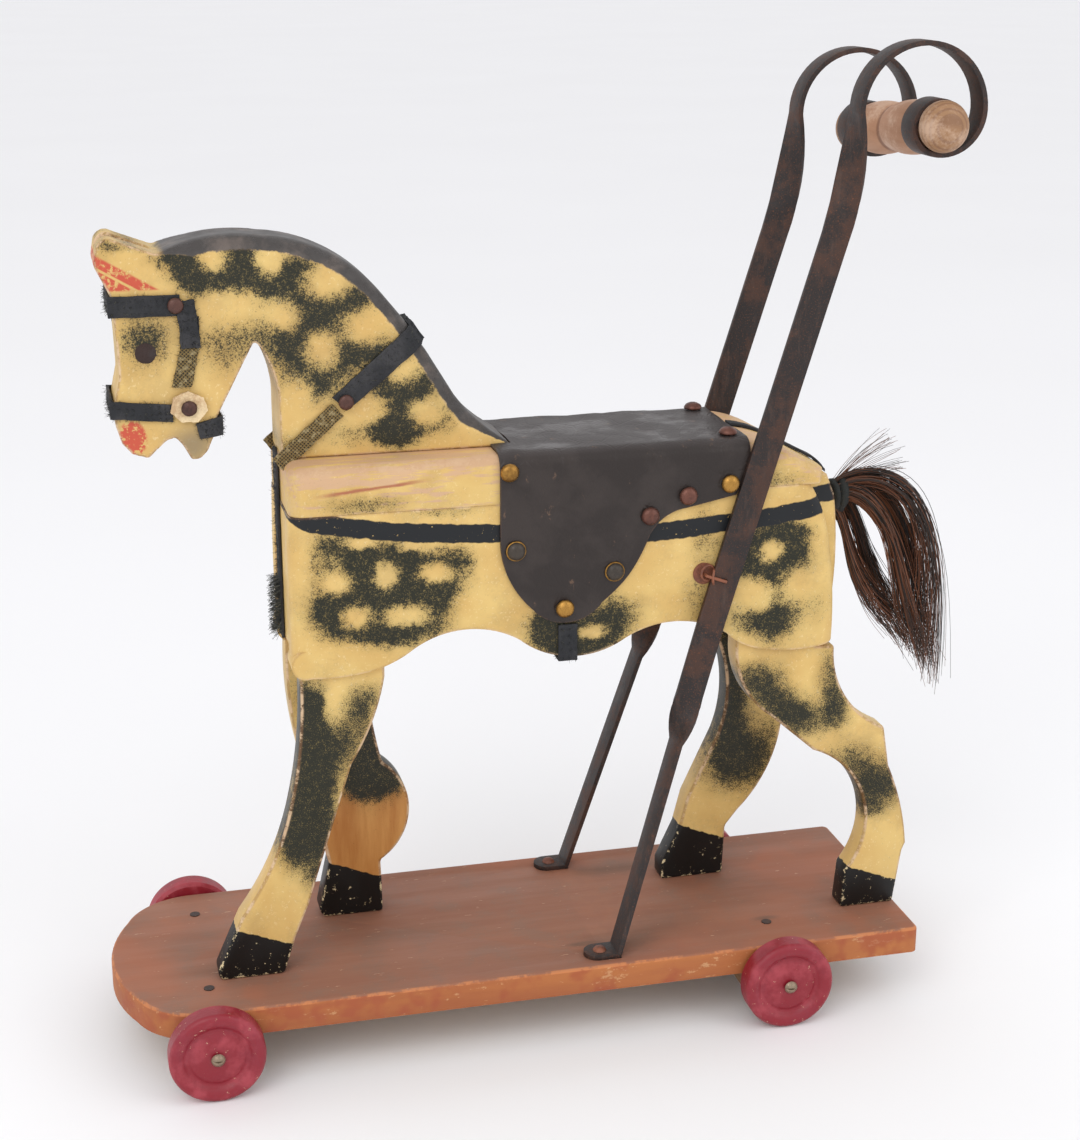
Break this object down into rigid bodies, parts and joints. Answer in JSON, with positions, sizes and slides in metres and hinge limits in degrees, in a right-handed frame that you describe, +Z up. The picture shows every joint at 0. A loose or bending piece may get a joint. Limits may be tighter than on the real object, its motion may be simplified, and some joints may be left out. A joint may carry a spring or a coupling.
{
  "type": "push-along horse",
  "caption": "Painted wooden toy horse on a round-nosed wheeled board, with leather saddle and harness, hair tail and an iron push handle with a turned grip.",
  "frame": {"origin": "on the floor, under the middle of the whole toy", "axes": "+Z up, the horse faces -X, its left side is -Y"},
  "size_m": [0.6116, 0.2204, 0.6656],
  "materials": {
    "horse_paint": "aged cream gloss paint with dark green-black dapples, worn at the edges",
    "board_paint": "faded red-brown paint, scuffed",
    "bare_wood": "plain sawn softwood",
    "wheel_paint": "crimson gloss paint, chipped",
    "screw_steel": "dull, slightly rusty",
    "eye_stud": "dark brown gloss",
    "horse_hair": "dark brown horse hair",
    "saddle_leather": "dark brown oilcloth leather, creased",
    "brass_nails": "aged brass",
    "black_leather": "black leather, dry",
    "braid_strap": "worn black and gold braid",
    "cream_leather": "bare cream leather",
    "copper_nails": "dark copper",
    "fur": "dark fur",
    "iron": "dark rusty iron",
    "grip_wood": "turned wood, worn smooth"
  },
  "bodies": {
    "toy": {"axle_block_front": "bare_wood", "axle_block_rear": "bare_wood", "back_board": "horse_paint", "base_board": "board_paint", "block_nails": "iron", "body_core": "bare_wood", "body_side_left": "horse_paint", "body_side_right": "horse_paint", "bridle_nails": "copper_nails", "browband": "black_leather", "cheek_strap_left": "braid_strap", "cheek_strap_right": "braid_strap", "chest_strap": "black_leather", "chest_tuft": "fur", "chin_strap": "black_leather", "crupper_strap": "black_leather", "eyes": "eye_stud", "front_leg_left": "horse_paint", "front_leg_right": "horse_paint", "girth_strap": "black_leather", "neck_and_head": "horse_paint", "neck_dowels": "bare_wood", "neck_strap": "black_leather", "noseband": "black_leather", "rear_leg_left": "horse_paint", "rear_leg_right": "horse_paint", "rosettes": "cream_leather", "saddle": "saddle_leather", "saddle_nails": "brass_nails", "side_washers": "iron", "strut_foot_screws": "iron", "strut_left": "iron", "strut_right": "iron", "tail_hair": "horse_hair", "tail_peg": "bare_wood", "wheel_screws": "screw_steel", "wheel_washers": "screw_steel", "wire_ties": "iron"},
    "wheel_front_left": {"wheel_front_left": "wheel_paint"},
    "wheel_front_right": {"wheel_front_right": "wheel_paint"},
    "wheel_rear_left": {"wheel_rear_left": "wheel_paint"},
    "wheel_rear_right": {"wheel_rear_right": "wheel_paint"},
    "grip": {"handle_grip": "grip_wood"}
  },
  "joints": [
    {"name": "wheel_front_left_spin", "type": "hinge", "parent": "toy", "child": "wheel_front_left", "pos_m": [-0.24425, -0.0986, 0.03175], "axis": [0, 1, 0], "continuous": true},
    {"name": "wheel_front_right_spin", "type": "hinge", "parent": "toy", "child": "wheel_front_right", "pos_m": [-0.24425, 0.0986, 0.03175], "axis": [0, 1, 0], "continuous": true},
    {"name": "wheel_rear_left_spin", "type": "hinge", "parent": "toy", "child": "wheel_rear_left", "pos_m": [0.15055, -0.0986, 0.03175], "axis": [0, 1, 0], "continuous": true},
    {"name": "wheel_rear_right_spin", "type": "hinge", "parent": "toy", "child": "wheel_rear_right", "pos_m": [0.15055, 0.0986, 0.03175], "axis": [0, 1, 0], "continuous": true},
    {"name": "grip_turn", "type": "hinge", "parent": "toy", "child": "grip", "pos_m": [0.24525, 0, 0.60575], "axis": [0, 0.9953, -0.0968], "continuous": true}
  ]
}
